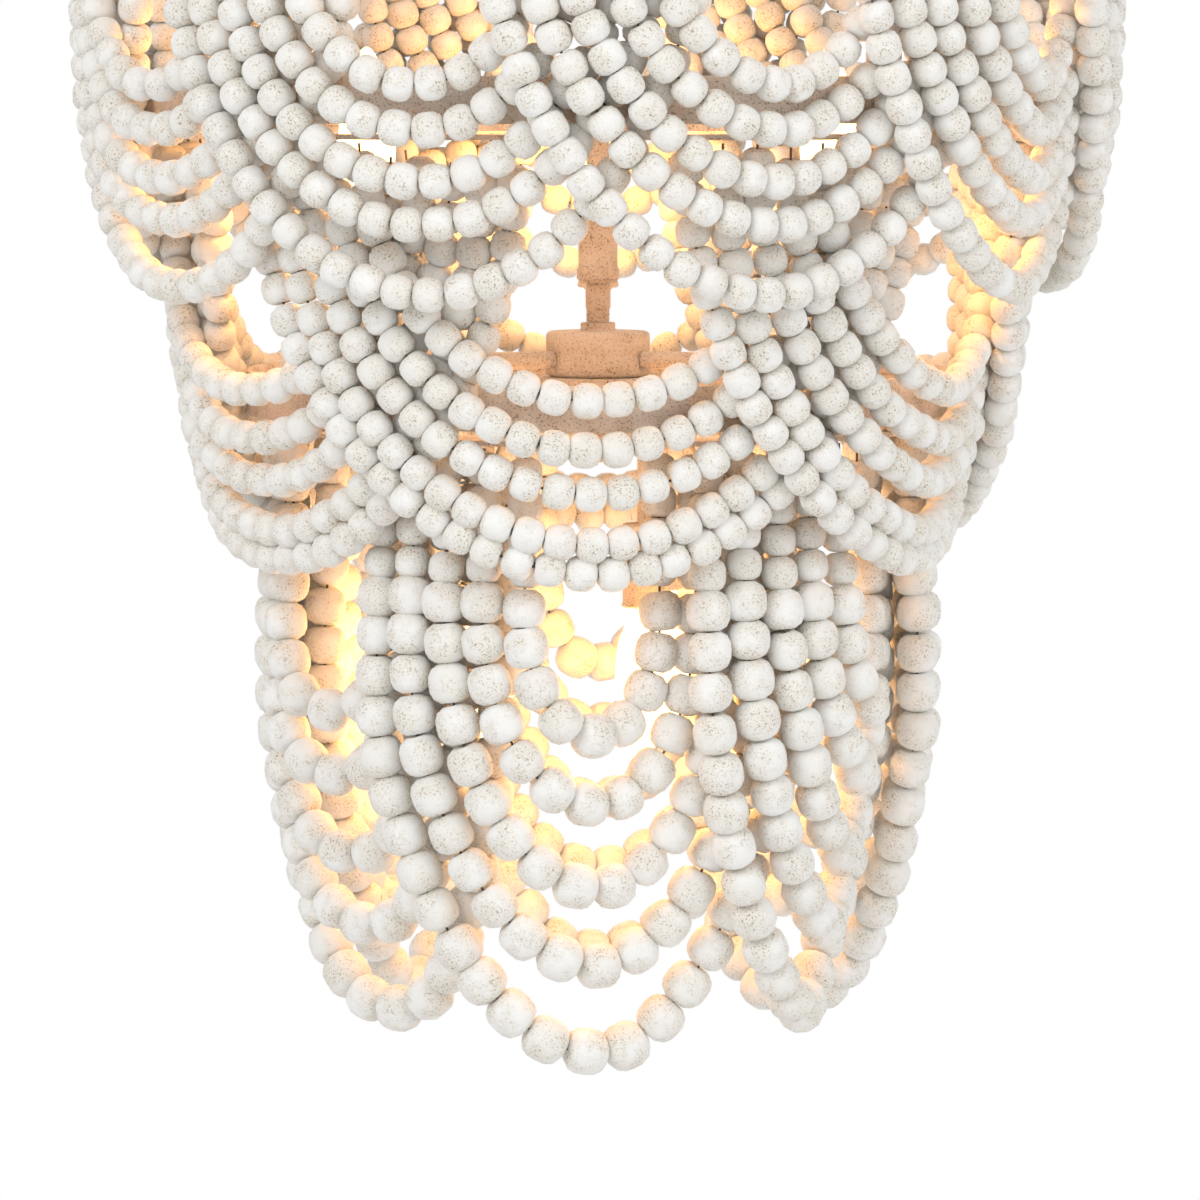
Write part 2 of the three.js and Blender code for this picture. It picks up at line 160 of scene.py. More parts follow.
@dataclass(frozen=True)
class Wash:
    """A brushed whitewash over a darker ground."""

    BUMP_DISTANCE: ClassVar[float] = 0.0006
    PLAIN_SHARE: ClassVar[float] = 0.35

    name: str
    pale: tuple
    tan: tuple
    dark: tuple
    patch_scale: float
    speck_scale: float
    speck: float
    bump: float
    metallic: float = 0.0
    roughness: tuple = (0.55, 0.85)
    per_bead: float = 0.0
    worn_from: float = 0.10

    def material(self, group: bpy.types.NodeTree) -> bpy.types.Material:
        """Builds the finish.

        Args:
            group: The shared speckle group.

        Returns:
            The material.
        """
        mat = bpy.data.materials.new(self.name)
        mat.use_nodes = True
        nodes, links = mat.node_tree.nodes, mat.node_tree.links
        shader = nodes["Principled BSDF"]
        shader.inputs["Metallic"].default_value = self.metallic
        place = nodes.new("ShaderNodeTexCoord")
        wash = nodes.new("ShaderNodeGroup")
        wash.node_tree = group
        wash.inputs["Patch Scale"].default_value = self.patch_scale
        wash.inputs["Speck Scale"].default_value = self.speck_scale
        wash.inputs["Speck Amount"].default_value = self.speck
        wash.inputs["Least Speck"].default_value = self.worn_from
        links.new(place.outputs["Object"], wash.inputs["Vector"])

        def mix(fac: bpy.types.NodeSocket, a: object, b: object) -> bpy.types.NodeSocket:
            """Mixes two colours, each a tuple or a socket."""
            node = nodes.new("ShaderNodeMix")
            node.data_type = "RGBA"
            links.new(fac, node.inputs["Factor"])
            for socket, value in ((node.inputs["A"], a), (node.inputs["B"], b)):
                if isinstance(value, tuple):
                    socket.default_value = (*value, 1.0)
                else:
                    links.new(value, socket)
            return node.outputs["Result"]

        colour = mix(wash.outputs["Patch"], self.pale, self.tan)
        if self.per_bead:
            geometry = nodes.new("ShaderNodeNewGeometry")
            spread = nodes.new("ShaderNodeMapRange")
            spread.inputs["From Min"].default_value = self.PLAIN_SHARE
            spread.inputs["To Max"].default_value = self.per_bead
            links.new(geometry.outputs["Random Per Island"], spread.inputs["Value"])
            colour = mix(spread.outputs["Result"], colour, self.tan)
        colour = mix(wash.outputs["Speck"], colour, self.dark)
        links.new(colour, shader.inputs["Base Color"])
        rough = nodes.new("ShaderNodeMapRange")
        rough.inputs["To Min"].default_value = self.roughness[0]
        rough.inputs["To Max"].default_value = self.roughness[1]
        links.new(wash.outputs["Grain"], rough.inputs["Value"])
        links.new(rough.outputs["Result"], shader.inputs["Roughness"])
        bump = nodes.new("ShaderNodeBump")
        bump.inputs["Strength"].default_value = self.bump
        bump.inputs["Distance"].default_value = self.BUMP_DISTANCE
        links.new(wash.outputs["Grain"], bump.inputs["Height"])
        links.new(bump.outputs["Normal"], shader.inputs["Normal"])
        return mat


@dataclass(frozen=True)
class Glow:
    """Frosted glass lit from inside."""

    name: str = "lit_bulb"
    strength: float = 2.2

    def material(self) -> bpy.types.Material:
        """Builds the finish.

        Returns:
            The material.
        """
        mat = bpy.data.materials.new(self.name)
        mat.use_nodes = True
        nodes, links = mat.node_tree.nodes, mat.node_tree.links
        shader = nodes["Principled BSDF"]
        shader.inputs["Roughness"].default_value = 0.3
        place = nodes.new("ShaderNodeTexCoord")
        cloud = nodes.new("ShaderNodeTexNoise")
        cloud.inputs["Scale"].default_value = 40.0
        links.new(place.outputs["Object"], cloud.inputs["Vector"])
        ramp = nodes.new("ShaderNodeMix")
        ramp.data_type = "RGBA"
        ramp.inputs["A"].default_value = (1.0, 0.72, 0.36, 1.0)
        ramp.inputs["B"].default_value = (1.0, 0.82, 0.52, 1.0)
        links.new(cloud.outputs["Fac"], ramp.inputs["Factor"])
        links.new(ramp.outputs["Result"], shader.inputs["Base Color"])
        links.new(ramp.outputs["Result"], shader.inputs["Emission Color"])
        shader.inputs["Emission Strength"].default_value = self.strength
        return mat


@dataclass
class Finishes:
    """All finishes of the fixture."""

    group: bpy.types.NodeTree = field(default_factory=ShaderGroups.speckle)

    def __post_init__(self) -> None:
        """Builds every material once."""
        self.beads = Wash("whitewashed_wood", (0.895, 0.89, 0.87), (0.80, 0.765, 0.69), (0.34, 0.25, 0.16),
                          75.0, 820.0, 0.9, 0.5, per_bead=0.35).material(self.group)
        self.frame = Wash("distressed_wash", (0.78, 0.715, 0.655), (0.66, 0.565, 0.48), (0.22, 0.14, 0.09),
                          60.0, 800.0, 1.0, 0.6, worn_from=0.55).material(self.group)
        self.steel = Wash("aged_steel", (0.42, 0.38, 0.33), (0.30, 0.26, 0.22), (0.12, 0.09, 0.07),
                          80.0, 600.0, 0.4, 0.25, 0.7, (0.35, 0.6)).material(self.group)
        self.string = Wash("dark_string", (0.16, 0.12, 0.09), (0.10, 0.08, 0.06), (0.05, 0.04, 0.03),
                           200.0, 900.0, 0.4, 0.2).material(self.group)
        self.bulb = Glow().material()


# ---- modelling


class Shop:
    """Modelling steps that the sub-assemblies share. Lengths are in mm."""

    @staticmethod
    def clear() -> None:
        """Leaves edit mode and deselects everything."""
        if bpy.context.object and bpy.context.object.mode != "OBJECT":
            bpy.ops.object.mode_set(mode="OBJECT")
        bpy.ops.object.select_all(action="DESELECT")

    @staticmethod
    def turn(name: str, profile: list, segments: int = 96, ease: float = 0.0) -> bpy.types.Object:
        """Turns a profile about the upright axis by extruding a circle along it.

        Args:
            name: The object's name.
            profile: Radius and height pairs. A closed ring repeats its first pair last.
            segments: Faces round the axis.
            ease: Width of the rounding on sharp edges.

        Returns:
            The object, with its place in its mesh.
        """
        Shop.clear()
        ring = profile[0] == profile[-1]
        radius, z = profile[0]
        bpy.ops.mesh.primitive_circle_add(vertices=segments, radius=radius * MM, fill_type="NOTHING",
                                          location=(0, 0, height(z)))
        obj = bpy.context.object
        obj.name = name
        bpy.ops.object.transform_apply(location=True, rotation=True, scale=True)
        bpy.ops.object.mode_set(mode="EDIT")
        bpy.ops.mesh.select_all(action="SELECT")
        for next_radius, next_z in profile[1:]:
            bpy.ops.mesh.extrude_edges_move(TRANSFORM_OT_translate={"value": (0, 0, (next_z - z) * MM)})
            scale = next_radius / radius
            bpy.ops.transform.resize(value=(scale, scale, 1), center_override=(0, 0, height(next_z)))
            radius, z = next_radius, next_z
        bpy.ops.mesh.select_all(action="SELECT")
        bpy.ops.mesh.remove_doubles(threshold=1e-6)
        if not ring:
            bpy.ops.mesh.select_all(action="DESELECT")
            bpy.ops.mesh.select_non_manifold()
            bpy.ops.mesh.fill_holes(sides=0)
        bpy.ops.mesh.select_all(action="SELECT")
        bpy.ops.mesh.normals_make_consistent(inside=False)
        bpy.ops.object.mode_set(mode="OBJECT")
        if ease:
            bevel = obj.modifiers.new("ease", "BEVEL")
            bevel.width = ease * MM
            bevel.segments = 2
            bevel.limit_method = "ANGLE"
            bevel.angle_limit = math.radians(35)
            bpy.ops.object.modifier_apply(modifier="ease")
        bpy.ops.object.shade_smooth_by_angle(angle=math.radians(40))
        return obj

    @staticmethod
    def wire(name: str, paths: list, radius: float, closed: bool = False, sides: int = 2) -> bpy.types.Object:
        """Makes round wire or tube along paths.

        Args:
            name: The object's name.
            paths: Lists of points in mm.
            radius: The wire's radius.
            closed: Whether each path closes on itself.
            sides: Roundness of the section.

        Returns:
            The mesh object.
        """
        Shop.clear()
        curve = bpy.data.curves.new(name, "CURVE")
        curve.dimensions = "3D"
        curve.bevel_depth = radius * MM
        curve.bevel_resolution = sides
        curve.use_fill_caps = True
        for path in paths:
            spline = curve.splines.new("POLY")
            spline.points.add(len(path) - 1)
            for point, (x, y, z) in zip(spline.points, path):
                point.co = (x * MM, y * MM, height(z), 1.0)
            spline.use_cyclic_u = closed
        obj = bpy.data.objects.new(name, curve)
        bpy.context.collection.objects.link(obj)
        obj.select_set(True)
        bpy.context.view_layer.objects.active = obj
        bpy.ops.object.convert(target="MESH")
        obj = bpy.context.object
        bpy.ops.object.shade_smooth_by_angle(angle=math.radians(50))
        return obj

    @staticmethod
    def block(name: str, low: tuple, high: tuple, ease: float) -> bpy.types.Object:
        """Makes a flat bar with eased edges.

        Args:
            name: The object's name.
            low: Its lowest corner.
            high: Its highest corner.
            ease: Width of the rounding.

        Returns:
            The object.
        """
        Shop.clear()
        middle = [(a + b) / 2 for a, b in zip(low, high)]
        bpy.ops.mesh.primitive_cube_add(size=1, location=(middle[0] * MM, middle[1] * MM, height(middle[2])))
        obj = bpy.context.object
        obj.name = name
        obj.scale = [(b - a) * MM for a, b in zip(low, high)]
        bpy.ops.object.transform_apply(location=True, rotation=True, scale=True)
        bevel = obj.modifiers.new("ease", "BEVEL")
        bevel.width = ease * MM
        bevel.segments = 2
        bpy.ops.object.modifier_apply(modifier="ease")
        bpy.ops.object.shade_smooth_by_angle(angle=math.radians(40))
        return obj

    @staticmethod
    def eye(name: str, z: float) -> bpy.types.Object:
        """Makes an upright wire eye across the front.

        Args:
            name: The object's name.
            z: Height of its middle.

        Returns:
            The object.
        """
        points = [np.array([EYE_RADIUS * math.cos(a), 0, z + EYE_RADIUS * math.sin(a)])
                  for a in np.linspace(0, 2 * math.pi, 49)[:-1]]
        return Shop.wire(name, [points], EYE_WIRE, closed=True, sides=4)

    @staticmethod
    def place(obj: bpy.types.Object, angle: float = 0.0, out: float = 0.0) -> None:
        """Moves a mesh out from the axis towards the front, then turns it about the axis.

        Args:
            obj: The piece.
            angle: Degrees from the front.
            out: Distance from the axis.
        """
        turn = Matrix.Rotation(math.radians(angle), 4, "Z")
        obj.data.transform(turn @ Matrix.Translation((0, -out * MM, 0)))

    @staticmethod
    def weld(objs: list, name: str) -> bpy.types.Object:
        """Joins several meshes into one piece.

        Args:
            objs: The meshes.
            name: The piece's name.

        Returns:
            The piece.
        """
        Shop.clear()
        for obj in objs:
            obj.select_set(True)
        bpy.context.view_layer.objects.active = objs[0]
        if len(objs) > 1:
            bpy.ops.object.join()
        objs[0].name = name
        return objs[0]

    @staticmethod
    def copy(obj: bpy.types.Object, name: str, angle: float) -> bpy.types.Object:
        """Copies a piece with its own mesh, turned about the axis.

        Args:
            obj: The piece.
            name: The copy's name.
            angle: Degrees from the front.

        Returns:
            The copy.
        """
        twin = bpy.data.objects.new(name, obj.data.copy())
        bpy.context.collection.objects.link(twin)
        Shop.place(twin, angle)
        return twin

    @staticmethod
    def dress(obj: bpy.types.Object, mat: bpy.types.Material, slot: Slot, body: str, *nodes: str) -> None:
        """Gives a piece its finish, its body and the nodes that it stands for.

        Args:
            obj: The piece.
            mat: Its finish.
            slot: Its material slot; not used.
            body: The body that it rides on.
            nodes: The names of the nodes that it replaces.
        """
        obj.data.materials.clear()
        obj.data.materials.append(mat)
        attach(obj, body)
        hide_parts(*nodes)
        LOG.info("%s: %d faces", obj.name, len(obj.data.polygons))


@dataclass
class Bead:
    """One turned bead, modelled once and copied along every strand."""

    segments: int = 12
    rings: int = 8
    along_power: float = 3.0
    across_power: float = 0.46
    end_share: float = 0.86
    pole: float = 0.999

    def model(self, flat: float) -> tuple:
        """Models the bead 1 across, on the upright axis, with flat ends.

        Args:
            flat: Length of the bead as a share of its diameter.

        Returns:
            Its corner points and its faces.
        """
        Shop.clear()
        bpy.ops.mesh.primitive_uv_sphere_add(segments=self.segments, ring_count=self.rings, radius=0.5)
        obj = bpy.context.object
        mesh = obj.data
        for vertex in mesh.vertices:
            x, y, z = vertex.co
            share = z / 0.5
            radial = math.hypot(x, y)
            if abs(share) > self.pole:
                vertex.co = (0, 0, math.copysign(flat * 0.5 * self.end_share, z))
                continue
            grow = 0.5 * (1 - abs(share) ** self.along_power) ** self.across_power / radial
            vertex.co = (x * grow, y * grow, z * flat)
        points = np.array([v.co[:] for v in mesh.vertices])
        faces = [list(p.vertices) for p in mesh.polygons]
        bpy.data.objects.remove(obj)
        return points, faces


@dataclass
class Tier:
    """One tier of bead strands."""

    name: str
    node: str
    groups: int
    first_angle: float
    path: list
    rows: list
    top: float
    shingle: float
    section: Section
    flat: float
    bead_sizes: list
    pitch: float
    round_shares: list = field(default_factory=list)
    short_by: list = field(default_factory=list)

    def radius(self, z: float) -> float:
        """Gives the radius of the tier's middle at a height."""
        for (z0, r0), (z1, r1) in zip(self.path, self.path[1:]):
            if z >= z1:
                return r0 + (r1 - r0) * (z - z0) / (z1 - z0)
        return self.path[-1][1]

    def offset(self, s: float) -> float:
        """Gives how far a strand lies outside the tier's middle."""
        return -self.shingle / 2 * math.tanh(3 * s) / math.tanh(3)

    def line(self, row: int, short: bool = False, count: int = 400) -> np.ndarray:
        """Gives the points of one strand, in mm, for the group at the front.

        Args:
            row: The strand's number in its group.
            short: Whether the group is one of the shorter ones.
            count: How many points.

        Returns:
            The points, one to a line.
        """
        span, bottom = self.rows[row]
        if short:
            bottom += self.short_by[row]
        depth = self.top - bottom
        width = self.radius(bottom) * math.radians(span)
        tall = depth if self.section is Section.SWAG else min(depth, width * self.round_shares[row])
        leg = depth - tall
        arc = (width + tall) * math.pi / 4
        whole = 2 * leg + 2 * arc
        points = []
        for t in np.linspace(0, 1, count):
            along = t * whole
            if along < leg:
                s, z = -1.0, self.top - along
            elif along > whole - leg:
                s, z = 1.0, self.top - (whole - along)
            else:
                phi = ((along - leg) / (2 * arc) - 0.5) * math.pi
                s = math.sin(phi)
                z = bottom + tall - tall * math.cos(phi)
            points.append(polar(self.radius(z) + self.offset(s), span * s, z))
        return np.array(points)

    def size(self, z: float) -> float:
        """Gives the bead's diameter at a height."""
        heights = [h for h, _ in self.bead_sizes][::-1]
        sizes = [d for _, d in self.bead_sizes][::-1]
        return float(np.interp(z, heights, sizes))


class Stringer:
    """Strings beads along lines."""

    START = 8.0
    LOOK_AHEAD = 3
    STEP_SPREAD = (0.975, 1.03)
    SIZE_SPREAD = (0.95, 1.01)
    TILT = 0.035
    WOBBLE = 0.25
    FULL_TURN = 6.28

    def __init__(self) -> None:
        """Models the two beads."""
        self.barrel = Bead().model(0.935)
        self.round = Bead().model(0.955)

    def string(self, name: str, lines: list, size: object, pitch: float, flat: bool, seed: int) -> bpy.types.Object:
        """Makes one mesh of all beads on some lines.

        Args:
            name: The object's name.
            lines: Arrays of points in mm.
            size: Gives the bead diameter at a height.
            pitch: Bead spacing as a share of the diameter.
            flat: Whether the beads are barrels.
            seed: Start of the random turns.

        Returns:
            The object.
        """
        shape, faces = self.barrel if flat else self.round
        rng = np.random.default_rng(seed)
        points, all_faces = [], []
        faces = [list(f) for f in faces]
        for line in lines:
            steps = np.linalg.norm(np.diff(line, axis=0), axis=1)
            along = np.concatenate([[0], np.cumsum(steps)])
            centres, at = [], rng.uniform(0.0, self.START)
            while at + size(line[-1][2]) * pitch < along[-1]:
                z = float(np.interp(at, along, line[:, 2]))
                step = size(z) * pitch * rng.uniform(*self.STEP_SPREAD)
                centres.append(at + step / 2)
                at += step
            for s in centres:
                middle = np.array([np.interp(s, along, line[:, k]) for k in range(3)])
                ahead = np.array([np.interp(min(s + self.LOOK_AHEAD, along[-1]), along, line[:, k]) for k in range(3)])
                behind = np.array([np.interp(max(s - self.LOOK_AHEAD, 0), along, line[:, k]) for k in range(3)])
                axis = Vector(ahead - behind).normalized()
                tilt = Vector(rng.normal(0, self.TILT, 3))
                turn = (axis + tilt).normalized().to_track_quat("Z", "Y").to_matrix()
                spin = Matrix.Rotation(rng.uniform(0, self.FULL_TURN), 3, "Z")
                d = size(float(middle[2])) * rng.uniform(*self.SIZE_SPREAD)
                matrix = np.array(turn @ spin) * d
                wobble = rng.normal(0, self.WOBBLE, 3)
                base = len(points) * len(shape)
                points.append(shape @ matrix.T + middle + wobble)
                all_faces.extend([[base + i for i in f] for f in faces])
        verts = np.concatenate(points) - np.array([0, 0, CEILING])
        mesh = bpy.data.meshes.new(name)
        mesh.from_pydata((verts * MM).tolist(), [], all_faces)
        mesh.update()
        mesh.shade_smooth()
        obj = bpy.data.objects.new(name, mesh)
        bpy.context.collection.objects.link(obj)
        return obj


@dataclass
class Strands:
    """All bead strands: the crown and the three tiers."""

    finishes: Finishes
    string_radius: float = 0.7
    crown_count: int = 27
    crown_top: tuple = (74.0, 316.0)
    crown_end: tuple = (290.0, 178.0)
    crown_sag: float = 1.5
    crown_bead_heights: tuple = (178, 318)
    crown_bead_sizes: tuple = (19.0, 15.0)

    def tiers(self) -> list:
        """Gives the three tiers."""
        return [
            Tier("tier_1", "tier_1_swag", 9, 20.0,
                 [(165, 287.5), (0, 282.5), (-103, 266), (-140, 262)],
                 [(17.5, 8), (22, -16), (26, -43), (29.8, -66), (33.5, -103)],
                 163.5, 18.5, Section.SWAG, 0.86, [(200, 19.7), (100, 20.0), (-600, 20.2)], 0.868),
            Tier("tier_2", "tier_2_swag", 6, 0.0,
                 [(-20, 240), (-140, 229.5), (-167, 225), (-185, 223), (-210, 216), (-256, 206), (-290, 203)],
                 [(31, -161), (35.5, -188), (40, -212), (44.5, -240), (49, -256)],
                 -23.0, 18.5, Section.SWAG, 0.86, [(200, 19.8), (-200, 20.0), (-600, 20.0)], 0.868),
            Tier("tier_3", "tier_3_loops", 6, 0.0,
                 [(-180, 168.5), (-245, 168.5), (-290, 173.5), (-360, 173.5), (-440, 158), (-531, 131), (-560, 127)],
                 [(12.5, -348), (20, -387), (27, -435), (34, -480), (41, -532.3)],
                 -190.0, 27.0, Section.LOOP, 0.92,
                 [(200, 20.0), (-255, 20.0), (-272, 25.0), (-400, 25.5), (-531, 27.6)], 0.9,
                 [1.75, 1.9, 2.2, 2.2, 2.3], [4, 6, 8, 12, 15]),
        ]

    def build(self, stringer: Stringer) -> None:
        """Strings every tier and the crown.

        Args:
            stringer: The maker of bead meshes.
        """
        for tier in self.tiers():
            for i in range(tier.groups):
                short = bool(tier.short_by) and i % 2 == 1
                lines = [tier.line(row, short) for row in range(len(tier.rows))]
                angle = tier.first_angle + i * 360 / tier.groups
                beads = stringer.string(f"{tier.name}_beads_{i + 1}", lines, tier.size, tier.pitch,
                                        tier.section is Section.SWAG, 100 * i + tier.groups)
                Shop.place(beads, angle)
                Shop.dress(beads, self.finishes.beads, Slot.BEADS, BODY, f"{tier.node}_{i + 1}")
                string = Shop.wire(f"{tier.name}_strings_{i + 1}", [line[::8] for line in lines],
                                   self.string_radius, sides=1)
                Shop.place(string, angle)
                Shop.dress(string, self.finishes.string, Slot.STEEL, BODY)
        self.crown(stringer)

    def crown(self, stringer: Stringer) -> None:
        """Strings the sloping strands between the crown plate and the upper ring."""
        lines = []
        (r0, z0), (r1, z1) = self.crown_top, self.crown_end
        for i in range(self.crown_count):
            angle = 360 / self.crown_count * i
            lines.append(np.array([polar(r0 + (r1 - r0) * t, angle, z1 + (z0 - z1) * (1 - t) ** self.crown_sag)
                                   for t in np.linspace(0, 1, 120)]))
        beads = stringer.string(
            "crown_beads", lines,
            lambda z: float(np.interp(z, self.crown_bead_heights, self.crown_bead_sizes)), 0.875, True, 7)
        Shop.dress(beads, self.finishes.beads, Slot.BEADS, BODY, "crown_strands")
        wire = Shop.wire("crown_strings", [line[::8] for line in lines], self.string_radius, sides=1)
        Shop.dress(wire, self.finishes.string, Slot.STEEL, BODY)


@dataclass
class Frame:
    """Rings, bands, spiders and everything on the stem."""

    finishes: Finishes
    band_height: float = 25.4
    wall: float = 2.5
    spokes: tuple = (60.0, 180.0, 300.0)
    middle_spokes: tuple = (0.0, 120.0, 240.0)

    def build(self) -> None:
        """Builds the whole metal frame."""
        half = self.band_height / 2
        rings = [("tier_1_ring", 266, 306.3, 165, 168), ("tier_2_ring", 222, 254, -21.3, -18.3),
                 ("tier_3_ring", 147, 190, -188.3, -185.3)]
        for name, inner, outer, low, high in rings:
            self.washer(f"{name}_plate", name, inner, outer, low, high, 0.8)
        for name, outer, middle in (("tier_1_band", 261, 0.0), ("tier_2_band", 203, -167.0)):
            self.washer(f"{name}_hoop", name, outer - self.wall, outer, middle - half, middle + half, 0.7)
        self.washer("crown_disc", "crown_plate", 7.1, 84, 326, 330, 1.0)
        self.spider("upper_spokes", "upper_spider", self.spokes, 168.3, 279.5, 168.3, 180.3, 7.0)
        self.spider("middle_spokes", "middle_spider", self.middle_spokes, -18.0, 259.0, -18.0, -6.0, 7.0)
        self.spider("lower_spokes", "lower_spider", self.spokes, -185.0, 201.5, -185.0, -167.4, 0.0)
        self.column()

    def washer(self, name: str, node: str, inner: float, outer: float, low: float, high: float, ease: float) -> None:
        """Makes a flat ring or a hoop.

        Args:
            name: The object's name.
            node: The node that it replaces.
            inner: Its inner radius.
            outer: Its outer radius.
            low: Its lower face.
            high: Its upper face.
            ease: Width of the rounding.
        """
        obj = Shop.turn(name, [(inner, low), (outer, low), (outer, high), (inner, high), (inner, low)], 128, ease)
        Shop.dress(obj, self.finishes.frame, Slot.FRAME, BODY, node)

    def spider(self, name: str, node: str, angles: tuple, low: float, end: float, bottom: float, top: float,
               bore: float) -> None:
        """Makes a collar with three flat spokes.

        Args:
            name: The object's name.
            node: The node that it replaces.
            angles: The spokes' angles.
            low: The spokes' lower face.
            end: Radius at which they end.
            bottom: The collar's lower end.
            top: The collar's upper end.
            bore: Radius of its bore, or zero where it is closed.
        """
        parts = []
        for angle in angles:
            bar = Shop.block(name, (-4.5, -end, low), (4.5, -14.0, low + 5), 0.8)
            Shop.place(bar, angle)
            parts.append(bar)
        if bore:
            profile = [(bore, bottom), (15.2, bottom), (16, bottom + 0.8), (16, top - 0.8), (15.2, top), (bore, top),
                       (bore, bottom)]
        else:
            profile = [(4.0, bottom), (15.2, bottom), (16, bottom + 0.8), (16, top - 0.8), (15.2, top), (4.0, top)]
        parts.append(Shop.turn(name, profile, 48))
        Shop.dress(Shop.weld(parts, name), self.finishes.frame, Slot.FRAME, BODY, node)

    def column(self) -> None:
        """Makes the stem, its coupling, the hub, its plate, the finial and the loop."""
        wash = self.finishes.frame
        stem = Shop.turn("stem_pipe", [(3.0, -127.7), (6.2, -127.7), (6.65, -127), (6.65, 333.3), (6.2, 334),
                                       (3.0, 334)], 48)
        Shop.dress(stem, wash, Slot.FRAME, BODY, "stem")
        ribs = [(6.95, -105), (10.4, -105), (11.2, -103.6), (12.2, -102.8), (12.2, -97), (11.3, -96), (11.3, -73),
                (12.2, -72), (12.2, -66.2), (11.2, -65.2), (10.4, -64), (6.95, -64), (6.95, -105)]
        Shop.dress(Shop.turn("stem_union", ribs, 48), wash, Slot.FRAME, BODY, "stem_coupling")
        hub = Shop.turn("hub_drum", [(4, -159), (28.2, -159), (29.6, -158), (30, -156.5), (30, -148), (29.2, -147),
                                     (29.2, -145), (30, -144), (30, -135.5), (29.4, -134), (28, -133.1), (11, -132.6),
                                     (10, -131.5), (10, -128.6), (9.3, -128), (4, -128)], 64)
        Shop.dress(hub, wash, Slot.FRAME, BODY, "hub")
        plate = Shop.turn("hub_disc", [(4, -167), (32.8, -167), (34, -165.9), (34, -160.4), (33, -159.3),
                                       (4, -159.3)], 64)
        Shop.dress(plate, wash, Slot.FRAME, BODY, "hub_plate")
        tip = Shop.turn("finial_drop", [(1, -209.3), (3.2, -209), (4.6, -207.4), (4.2, -205), (6.4, -203), (8.6, -199),
                                        (9, -195), (8, -190.6), (6, -188.4), (6, -187), (8.6, -186.4), (8.8, -185.3),
                                        (4, -185.3)], 48)
        Shop.dress(tip, wash, Slot.FRAME, BODY, "finial")
        ring = Shop.eye("loop_eye", 355.5)
        cup = Shop.turn("loop_cup", [(6.95, 330.3), (9.6, 330.3), (10.5, 331.4), (10.5, 341), (9, 343.4), (5, 345),
                                     (1, 345), (1, 334.3), (6.95, 334.3), (6.95, 330.3)], 48)
        Shop.dress(Shop.weld([ring, cup], "stem_loop"), wash, Slot.FRAME, BODY, "top_loop")


@dataclass
class Hanging:
    """Canopy, mounting bar, hook and link."""

    finishes: Finishes

    def build(self) -> None:
        """Builds what hangs the fixture from the ceiling."""
        cup = [(4.4, 427), (18, 427), (22, 427.6), (34, 431.2), (50, 436.6), (61, 440.4), (63.4, 442.4), (64.4, 446),
               (65.4, 453), (65.8, 455), (63.1, 455), (62.2, 449), (60.6, 444.2), (57.5, 442), (48, 439.4), (30, 433),
               (20, 430.1), (4.4, 430), (4.4, 427)]
        Shop.dress(Shop.turn("canopy_cup", cup, 96), self.finishes.frame, Slot.FRAME, "ceiling", "canopy")
        bar = Shop.block("ceiling_bar", (-60.5, -12, 452), (60.5, 12, 455), 0.6)
        Shop.dress(bar, self.finishes.steel, Slot.STEEL, "ceiling", "mounting_bar")
        ring = Shop.eye("hook_eye", 409.5)
        shank = Shop.turn("hook_shank", [(1, 418.6), (4, 419.5), (4, 424.2), (8.4, 424.2), (9, 424.8), (9, 426.1),
                                         (8.4, 426.7), (4, 426.7), (4, 430.3), (8, 430.3), (9, 431), (9, 434.6),
                                         (8, 435.3), (1, 435.3)], 48)
        Shop.dress(Shop.weld([ring, shank], "hook"), self.finishes.steel, Slot.STEEL, "ceiling", "canopy_hook")
        track = []
        for start, end, middle in ((0, math.pi, LINK_TOP_BEND), (math.pi, 2 * math.pi, LINK_BOTTOM_BEND)):
            for a in np.linspace(start, end, 17):
                track.append(np.array([0, LINK_HALF_WIDTH * math.cos(a), middle + LINK_HALF_WIDTH * math.sin(a)]))
        link = Shop.wire("link_wire", [track], LINK_WIRE, closed=True, sides=4)
        Shop.dress(link, self.finishes.steel, Slot.STEEL, "link", "chain_link")


